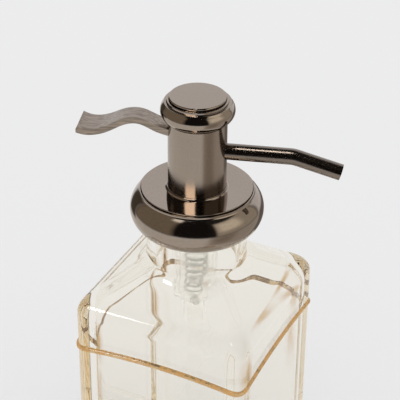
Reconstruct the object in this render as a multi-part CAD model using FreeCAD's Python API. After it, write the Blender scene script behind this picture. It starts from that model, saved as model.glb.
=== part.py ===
import FreeCAD, Part
import math
import os

# Soap pump dispenser: a square glass bottle with a screwed-on metal pump.
# Millimetres. +Z up. Origin: centre of the bottle's base. X and Y are normal to the bottle's faces.

V = FreeCAD.Vector
UP = V(0, 0, 1)
ORIGIN = V(0, 0, 0)

OVER = 1.0                  # cutting tools run past the surface they open by this much
TINY = 1e-6

# ---- bottle ----
BODY_HALF = 37.0            # half the width across the flat faces
CORNER_R = 5.0              # upright corners and shoulder hips
BASE_EDGE_R = 3.0
FOOT_INSET = 5.0            # flat ring the bottle stands on is this much smaller than the body
PUNT_DEPTH = 1.6            # recess under the base
EAVE_Z = 107.8              # shoulder plane meets the wall plane here
EAVE_R = 8.0
SHOULDER_TAN = 0.7265       # rise of the shoulder per mm inwards
WALL = 3.4
FLOOR_Z = 8.5
FLOOR_EDGE_R = 3.0
INNER_CORNER_R = 9.0
INNER_EAVE_R = 10.0
NECK_R = 20.2
NECK_TOP_Z = 138.6
NECK_FLARE_R = 6.0
NECK_EDGE_R = 0.8
FINISH_R = 17.6             # root of the screw finish
MOUTH_Z = 149.5
BORE_R = 15.0
NECK_BORE_R = 16.4          # bore below the finish
BORE_TAPER_Z = (136.0, 140.0)
THREAD_PITCH = 4.23
THREAD_DEPTH = 1.05
THREAD_TURNS = 1.25
THREAD_START_Z = 142.0
THREAD_ROOT_HALF = 1.1      # half widths of the ridge's root and crest
THREAD_CREST_HALF = 0.5

# ---- raised rib round the bottle ----
RIB_CORNER_Z = 87.6
RIB_ARCH = 2.64             # the rib is this much higher at the middle of each face
RIB_HEIGHT = 1.9
RIB_OUT = 0.95

# ---- collar ----
COLLAR_BOTTOM_Z = 136.5
COLLAR_BOTTOM_R = 21.6
COLLAR_BULGE_R = 26.5
COLLAR_BULGE_Z = 144.6
COLLAR_LIP_R = 22.7
COLLAR_LIP_Z = 153.1
COLLAR_LIP_DEPTH = 0.7      # height of the upright edge under the lip
COLLAR_BORE_R = 20.9
COLLAR_SEAT_T = 1.2         # thickness of the ledge that carries the plate
METAL_T = 1.1
PLATE_R = 22.0
PLATE_TOP_Z = 153.8
PLATE_T = 1.2
PLATE_HOLE_R = 12.5
RING_TOP_Z = 154.8
RING_R = 11.95
INSERT_R = 20.85
INSERT_BOTTOM_Z = 139.3
INSERT_HOLE_R = 12.1
THREAD_GAP = 0.25           # radial gap between the two threads

# ---- pump cylinder ----
GASKET_T = 0.8
FLANGE_T = 1.0
FLANGE_R = 17.3
CUP_R = 13.3
CUP_BORE_R = 12.0
CUP_FLOOR_Z = 139.3
CUP_FLOOR_T = 1.4
CYLINDER_R = 8.75
CYLINDER_BORE_R = 7.25
CYLINDER_FLOOR_Z = 104.5
VALVE_R = 5.2               # narrow end that holds the inlet valve and the dip tube
VALVE_CHAMBER_R = 3.2
VALVE_BOTTOM_Z = 89.0
SEAT_Z = 97.0
SEAT_HOLE_R = 1.6
BALL_R = 2.38
BALL_LIFT = 1.5
DIP_R = 3.175
DIP_BORE_R = 2.25
DIP_END_Z = 10.5
DIP_BEVEL = 40.0
VENT_Z = 133.2
VENT_R = 0.5
CHAPLET_SKIRT = 4.8
CHAPLET_FLANGE_R = 9.6
CAGE_HOLE_R = 1.3
CAGE_BOSS_R = 3.4
CAGE_FLANGE_T = 1.1

# ---- plunger ----
STEM_R = 3.5
STEM_BORE_R = 2.0
STEM_BOTTOM_Z = 132.6
STEM_TOP_Z = 166.0
RUNNING = 0.05              # radial clearance of every running fit
PRESSED = 0.02              # radial clearance drawn in every pressed joint
PISTON_BOTTOM_Z = 127.0
PISTON_TOP_Z = 131.5
ROD_R = 1.45
PLUG_R = 4.0
PLUG_BOTTOM_Z = 123.5
PLUG_TIP = 3.5
ROD_PRESSED_LENGTH = 9.0
FLUTE_WIDTH = 0.9
SPRING_MEAN_R = 4.3
SPRING_WIRE_R = 0.45
SPRING_TURNS = 6.5
SPRING_END_RISE = 1.05      # pitch of the closed turn at each end

# ---- head ----
COLUMN_R = 11.5
COLUMN_T = 1.0
COLUMN_BOTTOM_Z = 150.8
CAP_BOTTOM_Z = 183.2
CAP_BULGE_Z = 187.3
CAP_BULGE_R = 14.4
CAP_SHOULDER = (13.25, 190.7)   # radius, height where the bulge ends
CAP_STEP_1 = (13.0, 191.4)      # radius, height of the lower step
CAP_STEP_2 = (12.0, 192.45)     # and of the upper one
CAP_BORE_R = 9.2
CAP_SEAT_Z = 191.9
CAP_TOP_Z = 193.6
CAP_DISC_R = 11.05
CORE_R = 10.3
CORE_BOTTOM_Z = 158.0
CORE_TOP_Z = 182.9
SPOUT_AZIMUTH = 17.0
SPOUT_Z = 170.3
SPOUT_R = 3.2
SPOUT_BORE_R = 2.6
SPOUT_BEND_X = 37.3
SPOUT_DROP = 15.9
SPOUT_END = 19.2
SPOUT_BEND_R = 9.0
SPOUT_ROOT_X = 3.4
LINER_R = 2.55
LINER_BORE_R = 1.8
LEVER_T = 2.66
LEVER_ROOT_X = 4.4
SCREW_X = 7.4
SCREW_R = 1.25
SCREW_LENGTH = 7.5
SCREW_HEAD_R = 2.2
SCREW_HEAD_T = 1.5
SCREW_SLOT = (2.6, 0.6, 0.8)    # length, width, depth of each arm of the cross
SCREW_LIFT = 0.35               # gap between the lever and the head

# Centre line of the lever: distance from the axis, height.
LEVER_LINE = [(LEVER_ROOT_X, 178.5), (10.0, 178.7), (16.0, 180.4), (22.0, 182.9),
              (28.0, 182.3), (34.0, 179.3), (40.0, 177.5), (46.4, 178.6)]
# Half width of the lever: distance from the axis, half width.
LEVER_WIDTH = [(LEVER_ROOT_X, 4.2), (12.0, 4.2), (22.0, 4.1), (34.0, 5.1), (46.4, 6.5)]


# ---------------------------------------------------------------- helpers

def cyl(r, z0, z1):
    return Part.makeCylinder(r, z1 - z0, V(0, 0, z0))


def tube(r_out, r_in, z0, z1):
    return cyl(r_out, z0, z1).cut(cyl(r_in, z0 - OVER, z1 + OVER))


def wire(points):
    """Closed wire in the XZ plane: straight runs, and an arc through each point marked (x, z, "arc")."""
    edges = []
    count = len(points)
    i = 0
    while i < count:
        start = V(points[i][0], 0, points[i][1])
        nxt = points[(i + 1) % count]
        if len(nxt) == 3:
            end = points[(i + 2) % count]
            edges.append(Part.Arc(start, V(nxt[0], 0, nxt[1]), V(end[0], 0, end[1])).toShape())
            i += 2
        else:
            edges.append(Part.LineSegment(start, V(nxt[0], 0, nxt[1])).toShape())
            i += 1
    return Part.Wire(edges)


def lathe(points):
    """Solid of revolution about Z of a closed (radius, height) outline."""
    return Part.Face(wire(points)).revolve(ORIGIN, UP, 360)


def soften(shape, radius, chosen):
    """Fillet the edges that chosen(edge) picks."""
    edges = [e for e in shape.Edges if chosen(e)]
    return shape.makeFillet(radius, edges)


def turned(shape, degrees):
    out = shape.copy()
    out.rotate(ORIGIN, UP, degrees)
    return out


def save(name, shape):
    solids = shape.Solids
    body = solids[0] if len(solids) == 1 else Part.makeCompound(solids)
    body.exportStep("parts/%s.step" % name)
    print("%-16s solids %d valid %s volume %.1f" % (name, len(solids), body.isValid(), body.Volume))


# ---------------------------------------------------------------- bottle

def hipped(half, corner_r, eave_z, eave_r, bottom_z, top_z):
    """Square body with four shoulder planes: two crossed profiles, with the hips rounded."""
    angle = math.atan(SHOULDER_TAN)
    # The eave arc is tangent to the wall and to the shoulder.
    leg = eave_r * math.tan(angle_between_wall_and_shoulder(angle) / 2)
    wall_z = eave_z - leg
    arc_in = half - leg * math.cos(angle)
    arc_top = eave_z + leg * math.sin(angle)
    centre = (half - eave_r, wall_z)
    middle = angle_between_wall_and_shoulder(angle) / 2
    arc_mid = (centre[0] + eave_r * math.cos(middle), centre[1] + eave_r * math.sin(middle))
    peak = half - (top_z - eave_z) / SHOULDER_TAN
    right = [(peak, top_z), (arc_in, arc_top), (arc_mid[0], arc_mid[1], "arc"), (half, wall_z),
             (half, bottom_z)]
    left = [(-p[0],) + tuple(p[1:]) for p in reversed(right)]
    face = Part.Face(wire(right + left))
    along_y = face.extrude(V(0, 4 * half, 0))
    along_y.translate(V(0, -2 * half, 0))
    along_x = turned(along_y, 90)
    body = along_y.common(along_x)

    def is_hip(edge):
        a, b = edge.Vertexes[0].Point, edge.Vertexes[-1].Point
        on_diagonal = all(abs(abs(p.x) - abs(p.y)) < 1e-4 for p in (a, b))
        return on_diagonal and abs(a.z - b.z) > 0.1

    return soften(body, corner_r, is_hip)


def angle_between_wall_and_shoulder(slope):
    return math.pi / 2 - slope


def rib():
    """Raised rib round the body, arched over each face and level at the corners."""
    reach = BODY_HALF + RIB_OUT + 3
    radius = (BODY_HALF ** 2 + RIB_ARCH ** 2) / (2 * RIB_ARCH)
    centre_z = RIB_CORNER_Z + RIB_ARCH - radius
    top = radius + RIB_HEIGHT / 2
    low = radius - RIB_HEIGHT / 2
    end_top = math.sqrt(top ** 2 - reach ** 2)
    end_low = math.sqrt(low ** 2 - reach ** 2)
    band = wire([(-reach, centre_z + end_top), (0, centre_z + top, "arc"), (reach, centre_z + end_top),
                 (reach, centre_z + end_low), (0, centre_z + low, "arc"), (-reach, centre_z + end_low)])
    over = Part.Face(band).extrude(V(0, -reach, 0))
    wedge = Part.Face(Part.makePolygon([V(0, 0, 0), V(reach, -reach, 0), V(-reach, -reach, 0), V(0, 0, 0)]))
    wedge = wedge.extrude(V(0, 0, EAVE_Z))
    quarter = over.common(wedge)
    ring = quarter
    for turn in (90, 180, 270):
        ring = ring.fuse(turned(quarter, turn))
    outer = rounded_box(BODY_HALF + RIB_OUT, CORNER_R + RIB_OUT, 0, EAVE_Z)
    inner = rounded_box(BODY_HALF - OVER, CORNER_R - OVER, -OVER, EAVE_Z + OVER)
    return ring.common(outer.cut(inner)).removeSplitter()


def rounded_box(half, corner_r, z0, z1):
    box = Part.makeBox(2 * half, 2 * half, z1 - z0, V(-half, -half, z0))
    return soften(box, corner_r, lambda e: abs(e.Vertexes[0].Z - e.Vertexes[-1].Z) > 1)


def thread(root_r, depth, base_half, z0, phase):
    """One helical ridge of trapezoid section, its root sunk in the wall; a negative depth points inwards."""
    sink = math.copysign(0.3, depth)
    tip_half = THREAD_CREST_HALF
    helix = Part.makeHelix(THREAD_PITCH, THREAD_PITCH * THREAD_TURNS, root_r)
    helix.translate(V(0, 0, z0))
    section = Part.makePolygon([V(root_r - sink, 0, z0 - base_half), V(root_r + depth, 0, z0 - tip_half),
                                V(root_r + depth, 0, z0 + tip_half), V(root_r - sink, 0, z0 + base_half),
                                V(root_r - sink, 0, z0 - base_half)])
    ridge = Part.Wire(helix.Edges).makePipeShell([Part.Wire(section.Edges)], True, True)
    return turned(ridge, phase)


def bottle():
    flat_top = 14.0         # half width left at the top of the shoulder planes, inside the neck
    body = hipped(BODY_HALF, CORNER_R, EAVE_Z, EAVE_R, 0, EAVE_Z + (BODY_HALF - flat_top) * SHOULDER_TAN)
    body = soften(body, BASE_EDGE_R, lambda e: e.BoundBox.ZMax < TINY)
    body = body.fuse(cyl(NECK_R, FLOOR_Z, NECK_TOP_Z))

    def joins_neck(edge):
        points = edge.discretize(7)
        on_neck = all(abs(math.hypot(p.x, p.y) - NECK_R) < 1e-3 for p in points)
        return on_neck and all(EAVE_Z < p.z < NECK_TOP_Z - OVER for p in points)

    body = soften(body, NECK_FLARE_R, joins_neck)
    body = body.fuse(rib())

    def rims_neck(edge):
        box = edge.BoundBox
        return abs(box.ZMax - NECK_TOP_Z) < TINY and box.ZLength < TINY

    body = soften(body, NECK_EDGE_R, rims_neck)
    body = body.fuse(cyl(FINISH_R, EAVE_Z, MOUTH_Z))
    body = body.fuse(thread(FINISH_R, THREAD_DEPTH, THREAD_ROOT_HALF, THREAD_START_Z, 0))
    inner_eave = EAVE_Z - WALL / math.cos(math.atan(SHOULDER_TAN)) + WALL * SHOULDER_TAN
    inner_half = BODY_HALF - WALL
    inside = hipped(inner_half, INNER_CORNER_R, inner_eave, INNER_EAVE_R, FLOOR_Z,
                    inner_eave + (inner_half - flat_top) * SHOULDER_TAN)
    inside = soften(inside, FLOOR_EDGE_R, lambda e: e.BoundBox.ZMax < FLOOR_Z + TINY)
    taper_low, taper_high = BORE_TAPER_Z
    bore = lathe([(0, inner_eave), (NECK_BORE_R, inner_eave), (NECK_BORE_R, taper_low), (BORE_R, taper_high),
                  (BORE_R, MOUTH_Z + OVER), (0, MOUTH_Z + OVER)])
    body = body.cut(inside.fuse(bore))
    punt = rounded_box(BODY_HALF - BASE_EDGE_R - FOOT_INSET, CORNER_R, -OVER, PUNT_DEPTH)
    return body.cut(punt)


# ---------------------------------------------------------------- collar

def collar_shell():
    """Spun shell: rolled bottom edge, bulge, upright lip, and a ledge inside that carries the plate."""
    bottom = COLLAR_BOTTOM_Z
    lip = COLLAR_LIP_R
    lip_foot = COLLAR_LIP_Z - COLLAR_LIP_DEPTH
    ledge = PLATE_TOP_Z - PLATE_T
    ledge_under = ledge - COLLAR_SEAT_T
    return lathe([(COLLAR_BORE_R, bottom + 0.4), (COLLAR_BORE_R + 0.4, bottom), (COLLAR_BOTTOM_R, bottom),
                  (COLLAR_BULGE_R, COLLAR_BULGE_Z, "arc"), (lip + 0.25, lip_foot - 0.4),
                  (lip, lip_foot), (lip, COLLAR_LIP_Z - 0.15), (lip - 0.15, COLLAR_LIP_Z),
                  (PLATE_R + 0.15, COLLAR_LIP_Z), (PLATE_R + 0.15, ledge),
                  (COLLAR_BORE_R, ledge), (COLLAR_BORE_R, ledge_under), (lip - 0.75, ledge_under),
                  (COLLAR_BULGE_R - METAL_T, COLLAR_BULGE_Z, "arc"), (COLLAR_BORE_R + 0.6, bottom + METAL_T),
                  (COLLAR_BORE_R, bottom + METAL_T)])


def collar_plate():
    """Flat plate that lies on the shell's ledge."""
    low = PLATE_TOP_Z - PLATE_T
    edge = 0.2
    return lathe([(PLATE_HOLE_R, low), (PLATE_R, low), (PLATE_R, PLATE_TOP_Z - edge),
                  (PLATE_R - edge, PLATE_TOP_Z), (PLATE_HOLE_R, PLATE_TOP_Z)])


def guide_ring():
    """Bush in the plate's hole that guides the column; it stands a little proud of the plate."""
    bore = COLUMN_R + RUNNING
    foot = PLATE_TOP_Z - PLATE_T
    return lathe([(bore, foot), (PLATE_HOLE_R, foot), (PLATE_HOLE_R, PLATE_TOP_Z), (RING_R, PLATE_TOP_Z),
                  (RING_R, RING_TOP_Z - 0.15), (RING_R - 0.15, RING_TOP_Z), (bore, RING_TOP_Z)])


def closure_insert():
    """Screw cap pressed in the collar: it clamps the pump's flange on the mouth."""
    inner = FINISH_R + THREAD_DEPTH + THREAD_GAP
    under_plate = PLATE_TOP_Z - PLATE_T
    ceiling = MOUTH_Z + GASKET_T + FLANGE_T + 0.05
    shell = lathe([(INSERT_HOLE_R, ceiling), (INSERT_HOLE_R, under_plate), (INSERT_R, under_plate),
                   (INSERT_R, INSERT_BOTTOM_Z), (inner + 0.5, INSERT_BOTTOM_Z),
                   (inner, INSERT_BOTTOM_Z + 0.5), (inner, ceiling)])
    ridge = thread(inner, THREAD_GAP - THREAD_DEPTH, THREAD_ROOT_HALF - 0.1, THREAD_START_Z - 0.2, 180)
    return shell.fuse(ridge)


def mouth_gasket():
    return tube(FLANGE_R, BORE_R + 0.3, MOUTH_Z, MOUTH_Z + GASKET_T)


# ---------------------------------------------------------------- pump

def pump_housing():
    """Flanged cup, cylinder and valve seat in one moulding, with a vent hole."""
    flange_z = MOUTH_Z + GASKET_T
    top = flange_z + FLANGE_T
    under = CUP_FLOOR_Z - CUP_FLOOR_T
    wall = CYLINDER_R - CYLINDER_BORE_R
    outer = lathe([(0, VALVE_BOTTOM_Z), (VALVE_R, VALVE_BOTTOM_Z), (VALVE_R, CYLINDER_FLOOR_Z - wall - 2),
                   (CYLINDER_R, CYLINDER_FLOOR_Z - wall), (CYLINDER_R, under), (CUP_R, under),
                   (CUP_R, flange_z), (FLANGE_R, flange_z), (FLANGE_R, top), (0, top)])
    seat_top = SEAT_Z + VALVE_CHAMBER_R - SEAT_HOLE_R
    socket = DIP_R + PRESSED
    socket_top = SEAT_Z - wall
    inner = lathe([(0, VALVE_BOTTOM_Z - OVER), (socket, VALVE_BOTTOM_Z - OVER), (socket, socket_top),
                   (SEAT_HOLE_R, socket_top), (SEAT_HOLE_R, SEAT_Z), (VALVE_CHAMBER_R, seat_top),
                   (VALVE_CHAMBER_R, CYLINDER_FLOOR_Z), (CYLINDER_BORE_R, CYLINDER_FLOOR_Z),
                   (CYLINDER_BORE_R, CUP_FLOOR_Z), (CUP_BORE_R, CUP_FLOOR_Z), (CUP_BORE_R, top + OVER),
                   (0, top + OVER)])
    vent = Part.makeCylinder(VENT_R, CYLINDER_R + OVER, V(0, 0, VENT_Z), V(0, 1, 0))
    return outer.cut(inner).cut(vent)


def chaplet():
    """Lock ring pressed in the top of the cylinder; the stem slides in its bore."""
    skirt_z = CUP_FLOOR_Z - CHAPLET_SKIRT
    skin = CYLINDER_BORE_R - PRESSED
    bore = STEM_R + RUNNING
    return lathe([(bore, skirt_z + 1.2), (STEM_R + 1.6, skirt_z), (skin, skirt_z),
                  (skin, CUP_FLOOR_Z), (CHAPLET_FLANGE_R, CUP_FLOOR_Z), (CHAPLET_FLANGE_R, CUP_FLOOR_Z + 0.8),
                  (STEM_R + 2.5, CUP_FLOOR_Z + 1.6), (bore, CUP_FLOOR_Z + 1.6)])


def ball_cage():
    """Clip over the inlet ball: keeps the ball in and seats the spring."""
    foot_z = ball_rest_z() + BALL_R + BALL_LIFT + 0.15
    flange_top = CYLINDER_FLOOR_Z + CAGE_FLANGE_T
    skin = VALVE_CHAMBER_R - PRESSED
    flange_r = CYLINDER_BORE_R - 0.15
    clip = lathe([(CAGE_HOLE_R, foot_z), (skin, foot_z), (skin, CYLINDER_FLOOR_Z),
                  (flange_r, CYLINDER_FLOOR_Z), (flange_r, flange_top), (CAGE_BOSS_R, flange_top),
                  (CAGE_BOSS_R, flange_top + 1.2), (CAGE_HOLE_R, flange_top + 1.2)])
    for turn in (0, 120, 240):
        slot = Part.makeBox(3.0, 1.2, 12, V(1.0, -0.6, foot_z - OVER))
        clip = clip.cut(turned(slot, turn))
    return clip


def ball_rest_z():
    """The ball lies in a 45 degree cone that ends at the seat's hole."""
    return SEAT_Z - SEAT_HOLE_R + BALL_R * math.sqrt(2) + 0.03


def inlet_ball():
    return Part.makeSphere(BALL_R, V(0, 0, ball_rest_z()))


def dip_tube():
    """Straw with its end cut aslant, so that it can't seal itself against the floor."""
    top = SEAT_Z - (CYLINDER_R - CYLINDER_BORE_R)
    straw = tube(DIP_R, DIP_BORE_R, DIP_END_Z, top)
    bevel = Part.makeBox(20, 20, 10, V(0, -10, -10))
    bevel.rotate(ORIGIN, V(0, 1, 0), DIP_BEVEL)
    bevel.translate(V(-DIP_R, 0, DIP_END_Z))
    return straw.cut(bevel)


def spring():
    """Open coil with a closed turn at each end."""
    low = CYLINDER_FLOOR_Z + CAGE_FLANGE_T + SPRING_WIRE_R
    high = PLUG_BOTTOM_Z - SPRING_WIRE_R
    end_rise = SPRING_END_RISE
    rise = high - low - 2 * end_rise
    helix = Part.makeHelix(rise / (SPRING_TURNS - 2), rise, SPRING_MEAN_R)
    helix.translate(V(0, 0, low + end_rise))
    low_turn = Part.makeHelix(end_rise, end_rise, SPRING_MEAN_R)
    low_turn.translate(V(0, 0, low))
    high_turn = turned(Part.makeHelix(end_rise, end_rise, SPRING_MEAN_R), 360 * (SPRING_TURNS - 2))
    high_turn.translate(V(0, 0, high - end_rise))
    path = Part.Wire(low_turn.Edges + helix.Edges + high_turn.Edges)
    section = Part.Wire(Part.makeCircle(SPRING_WIRE_R, V(SPRING_MEAN_R, 0, low), V(0, 1, 0)))
    return path.makePipeShell([section], True, True)


# ---------------------------------------------------------------- plunger

def piston():
    """Sliding seal with two lips on the cylinder and one on the rod."""
    bore = ROD_R + 0.35
    skin = CYLINDER_BORE_R - RUNNING
    return lathe([(bore, PISTON_BOTTOM_Z + 0.6), (bore + 0.6, PISTON_BOTTOM_Z), (3.8, PISTON_BOTTOM_Z),
                  (4.6, PISTON_BOTTOM_Z + 1.6), (6.4, PISTON_BOTTOM_Z), (skin, PISTON_BOTTOM_Z + 0.1),
                  (skin, PISTON_BOTTOM_Z + 1.2), (skin - 0.6, PISTON_BOTTOM_Z + 1.8),
                  (skin - 0.6, PISTON_TOP_Z - 1.4), (skin, PISTON_TOP_Z - 0.9), (skin, PISTON_TOP_Z - 0.1),
                  (6.4, PISTON_TOP_Z), (5.0, PISTON_TOP_Z - 1.6), (3.4, PISTON_TOP_Z), (bore, PISTON_TOP_Z)])


def piston_rod():
    """Rod with the plug that shuts the piston; flutes in its pressed end let the soap into the stem."""
    seat = PISTON_BOTTOM_Z - RUNNING
    rod_top = STEM_BOTTOM_Z + ROD_PRESSED_LENGTH
    tip_z = PLUG_BOTTOM_Z - PLUG_TIP
    rim = PLUG_R + 0.8
    skin = STEM_BORE_R - PRESSED
    rod = lathe([(0, tip_z), (2.6, tip_z), (3.2, tip_z + 1), (3.2, PLUG_BOTTOM_Z), (rim, PLUG_BOTTOM_Z),
                 (rim, PLUG_BOTTOM_Z + 1.2), (PLUG_R - 0.6, seat), (ROD_R, seat), (ROD_R, STEM_BOTTOM_Z),
                 (skin, STEM_BOTTOM_Z), (skin, rod_top), (0, rod_top)])
    reach = STEM_BORE_R + OVER
    for turn in (0, 90):
        corner = V(-reach, -FLUTE_WIDTH / 2, STEM_BOTTOM_Z - OVER)
        flute = Part.makeBox(2 * reach, FLUTE_WIDTH, ROD_PRESSED_LENGTH + 2 * OVER, corner)
        gap = flute.cut(cyl(FLUTE_WIDTH, PISTON_BOTTOM_Z, STEM_TOP_Z))
        rod = rod.cut(turned(gap, turn))
    return rod


def stem():
    """Hollow stem with a snap groove near its top."""
    groove_z = STEM_TOP_Z - 7
    groove_r = STEM_R - 0.4
    return lathe([(STEM_BORE_R, STEM_BOTTOM_Z), (STEM_R, STEM_BOTTOM_Z), (STEM_R, groove_z),
                  (groove_r, groove_z + 0.4), (groove_r, groove_z + 2), (STEM_R, groove_z + 2.4),
                  (STEM_R, STEM_TOP_Z - 0.8),
                  (STEM_R - 0.5, STEM_TOP_Z), (STEM_BORE_R, STEM_TOP_Z)])


# ---------------------------------------------------------------- head

def spout_path():
    """Centre line of the spout in the XZ plane: straight run, bend, dropped end."""
    drop = math.radians(SPOUT_DROP)
    leg = SPOUT_BEND_R * math.tan(drop / 2)
    start = V(SPOUT_ROOT_X, 0, SPOUT_Z)
    bend_in = V(SPOUT_BEND_X - leg, 0, SPOUT_Z)
    centre = V(bend_in.x, 0, SPOUT_Z - SPOUT_BEND_R)
    bend_mid = centre + V(math.sin(drop / 2), 0, math.cos(drop / 2)) * SPOUT_BEND_R
    bend_out = centre + V(math.sin(drop), 0, math.cos(drop)) * SPOUT_BEND_R
    end = V(SPOUT_BEND_X + SPOUT_END * math.cos(drop), 0, SPOUT_Z - SPOUT_END * math.sin(drop))
    return Part.Wire([Part.LineSegment(start, bend_in).toShape(),
                      Part.Arc(bend_in, bend_mid, bend_out).toShape(),
                      Part.LineSegment(bend_out, end).toShape()])


def along_spout(radius):
    section = Part.Wire(Part.makeCircle(radius, V(SPOUT_ROOT_X, 0, SPOUT_Z), V(1, 0, 0)))
    return spout_path().makePipeShell([section], True, True)


def nozzle_tube():
    pipe = along_spout(SPOUT_R).cut(along_spout(SPOUT_BORE_R))
    return turned(pipe, SPOUT_AZIMUTH)


def nozzle_liner():
    return turned(along_spout(LINER_R).cut(along_spout(LINER_BORE_R)), SPOUT_AZIMUTH)


def column_shell():
    """Metal tube of the head, with the holes that the spout and the lever pass through."""
    column = tube(COLUMN_R, COLUMN_R - COLUMN_T, COLUMN_BOTTOM_Z, CAP_BOTTOM_Z)
    spout_hole = Part.makeCylinder(SPOUT_R + PRESSED, COLUMN_R + OVER, V(0, 0, SPOUT_Z), V(1, 0, 0))
    column = column.cut(turned(spout_hole, SPOUT_AZIMUTH))
    return column.cut(lever_blank(RUNNING))


def lever_profile(grow):
    """Side view of the lever between its two offset curves."""
    centre = Part.BSplineCurve()
    centre.interpolate([V(x, 0, z) for x, z in LEVER_LINE])
    half = LEVER_T / 2 + grow
    rows = []
    for side in (1, -1):
        row = []
        for x, z in LEVER_LINE:
            along = centre.tangent(centre.parameter(V(x, 0, z)))[0]
            across = V(-along.z, 0, along.x) * (side * half)
            row.append(V(x, 0, z) + across)
        rows.append(row)
    curves = []
    for row in rows:
        curve = Part.BSplineCurve()
        curve.interpolate(row)
        curves.append(curve.toShape())
    ends = [Part.LineSegment(rows[0][k], rows[1][k]).toShape() for k in (0, -1)]
    return Part.Wire([curves[0], ends[1], curves[1], ends[0]])


def lever_outline(grow):
    """Plan view of the lever: widest at its straight tip."""
    sides = []
    for side in (1, -1):
        curve = Part.BSplineCurve()
        curve.interpolate([V(x, side * (w + grow), 0) for x, w in LEVER_WIDTH])
        sides.append(curve.toShape())
    tip_x, tip_w = LEVER_WIDTH[-1][0], LEVER_WIDTH[-1][1] + grow
    root_x, root_w = LEVER_WIDTH[0][0], LEVER_WIDTH[0][1] + grow
    tip = Part.LineSegment(V(tip_x, tip_w, 0), V(tip_x, -tip_w, 0)).toShape()
    root = Part.LineSegment(V(root_x, -root_w, 0), V(root_x, root_w, 0)).toShape()
    return Part.Wire([sides[0], tip, sides[1], root])


def lever_blank(grow):
    half_span = COLUMN_R
    side_view = Part.Face(lever_profile(grow)).extrude(V(0, 2 * half_span, 0))
    side_view.translate(V(0, -half_span, 0))
    plan = Part.Face(lever_outline(grow)).extrude(V(0, 0, CAP_TOP_Z - CORE_BOTTOM_Z))
    plan.translate(V(0, 0, CORE_BOTTOM_Z))
    return turned(side_view.common(plan), SPOUT_AZIMUTH + 180)


def screw_axis():
    angle = math.radians(SPOUT_AZIMUTH + 180)
    return V(SCREW_X * math.cos(angle), SCREW_X * math.sin(angle), 0)


def lever():
    below = V(0, 0, screw_head_z() - 3 * LEVER_T)
    hole = Part.makeCylinder(SCREW_R + RUNNING, 4 * LEVER_T, screw_axis() + below)
    return lever_blank(0).cut(hole)


def screw_head_z():
    return LEVER_LINE[0][1] + LEVER_T / 2 + SCREW_LIFT


def lever_screw():
    """Cross-head screw that clamps the lever's root in the core."""
    place = screw_axis()
    head_z = screw_head_z()
    shaft = Part.makeCylinder(SCREW_R, SCREW_LENGTH, place + V(0, 0, head_z - SCREW_LENGTH))
    head = Part.makeCylinder(SCREW_HEAD_R, SCREW_HEAD_T, place + V(0, 0, head_z))
    length, width, depth = SCREW_SLOT
    arm = Part.makeBox(length, width, depth + OVER, V(-length / 2, -width / 2, 0))
    cross = arm.fuse(turned(arm, 90))
    cross.translate(place + V(0, 0, head_z + SCREW_HEAD_T - depth))
    return shaft.fuse(head).cut(cross)


def actuator_core():
    """Core of the head: sockets for the stem and the spout, the channel between them, the lever's slot."""
    foot = CORE_BOTTOM_Z
    core = lathe([(0, foot), (CORE_R - 0.6, foot), (CORE_R, foot + 0.6), (CORE_R, CORE_TOP_Z),
                  (0, CORE_TOP_Z)])
    core = core.cut(cyl(STEM_R + RUNNING, foot - OVER, STEM_TOP_Z + 0.1))
    core = core.cut(cyl(STEM_BORE_R, STEM_TOP_Z - OVER, SPOUT_Z))
    channel = Part.makeCylinder(LINER_BORE_R, SPOUT_ROOT_X + OVER, V(0, 0, SPOUT_Z), V(1, 0, 0))
    socket = Part.makeCylinder(SPOUT_R + PRESSED, CORE_R, V(SPOUT_ROOT_X, 0, SPOUT_Z), V(1, 0, 0))
    core = core.cut(turned(channel.fuse(socket), SPOUT_AZIMUTH))
    core = core.cut(lever_blank(RUNNING))
    place = screw_axis()
    head_z = screw_head_z()
    pilot = Part.makeCylinder(SCREW_R, SCREW_LENGTH + 0.5, place + V(0, 0, head_z - SCREW_LENGTH - 0.5))
    well = Part.makeCylinder(SCREW_HEAD_R + 0.3, CORE_TOP_Z, place + V(0, 0, head_z - 0.5))
    return core.cut(pilot).cut(well)


def cap_shell():
    """Rounded cap with two fine steps round its top; its skirt is pressed in the column."""
    spigot = COLUMN_R - COLUMN_T
    edge = 0.2
    skirt_z = CAP_BOTTOM_Z + 0.35
    step_1_r, step_1_z = CAP_STEP_1
    step_2_r, step_2_z = CAP_STEP_2
    seat_r = CAP_DISC_R + RUNNING
    return lathe([(CAP_BORE_R, CAP_BOTTOM_Z), (spigot, CAP_BOTTOM_Z), (spigot, skirt_z),
                  (COLUMN_R + edge, skirt_z), (COLUMN_R + 0.5, skirt_z + 0.4),
                  (CAP_BULGE_R, CAP_BULGE_Z, "arc"), CAP_SHOULDER, (step_1_r, step_1_z - edge),
                  (step_1_r - edge, step_1_z), (step_2_r + 0.05, step_1_z), (step_2_r, step_2_z - edge),
                  (step_2_r - edge, step_2_z), (seat_r, step_2_z), (seat_r, CAP_SEAT_Z),
                  (CAP_BORE_R, CAP_SEAT_Z)])


def cap_disc():
    """Disc dropped in the cap, with a bevelled edge."""
    bevel_z = CAP_TOP_Z - 0.2
    rim_z = CAP_TOP_Z - 0.5
    return lathe([(0, CAP_SEAT_Z), (CAP_DISC_R, CAP_SEAT_Z), (CAP_DISC_R, rim_z), (CAP_DISC_R - 0.1, bevel_z),
                  (CAP_DISC_R - 0.4, CAP_TOP_Z), (0, CAP_TOP_Z)])


PARTS = [bottle, collar_shell, collar_plate, guide_ring, closure_insert, mouth_gasket, pump_housing, chaplet,
         ball_cage, inlet_ball, dip_tube, spring, piston, piston_rod, stem, actuator_core, column_shell,
         cap_shell, cap_disc, lever, lever_screw, nozzle_tube, nozzle_liner]

os.makedirs("parts", exist_ok=True)
for make in PARTS:
    save(make.__name__, make())
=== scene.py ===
"""Soap pump dispenser: the glass bottle, its metal pump head and the studio around them."""

import math

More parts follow.
